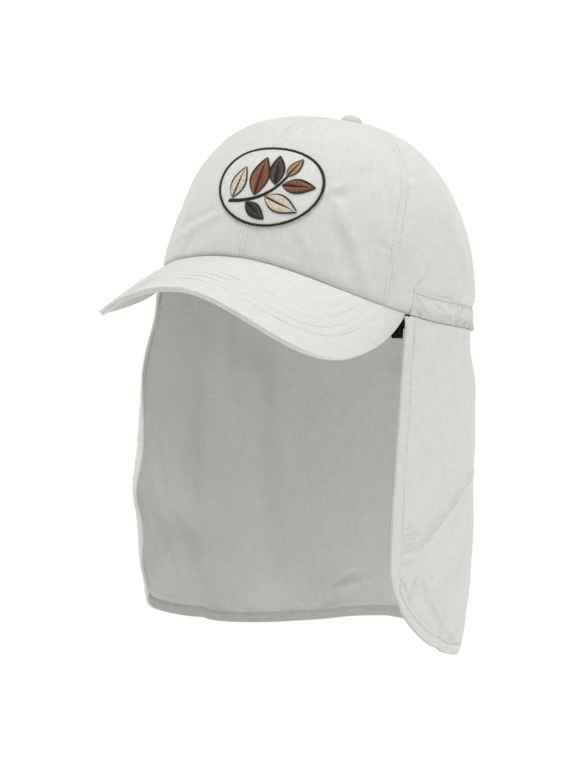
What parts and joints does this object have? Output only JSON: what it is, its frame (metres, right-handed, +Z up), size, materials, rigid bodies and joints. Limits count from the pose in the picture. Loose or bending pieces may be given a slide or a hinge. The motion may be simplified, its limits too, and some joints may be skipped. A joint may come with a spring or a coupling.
{
  "type": "legionnaire cap",
  "caption": "Soft cloth cap with a curved peak, gathered elastic at the back and a long flap that covers the neck and ears, with a leaf badge on the front.",
  "frame": {"origin": "middle of the head opening, where the cap sits on a head", "axes": "+Z up, -Y out over the peak, +X to the wearer's left"},
  "size_m": [0.1872, 0.2565, 0.3643],
  "materials": {
    "cap_cloth": "matt woven cloth",
    "black_webbing": "matt woven webbing",
    "ground_thread": "satin stitched thread",
    "black_thread": "satin stitched thread",
    "cream_thread": "satin stitched thread",
    "tan_thread": "satin stitched thread",
    "chestnut_thread": "satin stitched thread",
    "dark_brown_thread": "satin stitched thread"
  },
  "bodies": {
    "root": {"panel_front_left": "cap_cloth", "panel_side_left": "cap_cloth", "panel_back_left": "cap_cloth", "panel_back_right": "cap_cloth", "panel_side_right": "cap_cloth", "panel_front_right": "cap_cloth", "button": "cap_cloth", "peak_top": "cap_cloth", "peak_underside": "cap_cloth", "elastic_band": "cap_cloth", "neck_flap": "cap_cloth", "flap_hem": "cap_cloth", "adjuster_tab": "black_webbing", "emblem_ground": "ground_thread", "emblem_outline": "black_thread", "emblem_stem": "black_thread", "emblem_leaf_1": "cream_thread", "emblem_leaf_2": "dark_brown_thread", "emblem_leaf_3": "chestnut_thread", "emblem_leaf_4": "cream_thread", "emblem_leaf_5": "dark_brown_thread", "emblem_leaf_6": "chestnut_thread", "emblem_leaf_7": "tan_thread"}
  },
  "joints": []
}
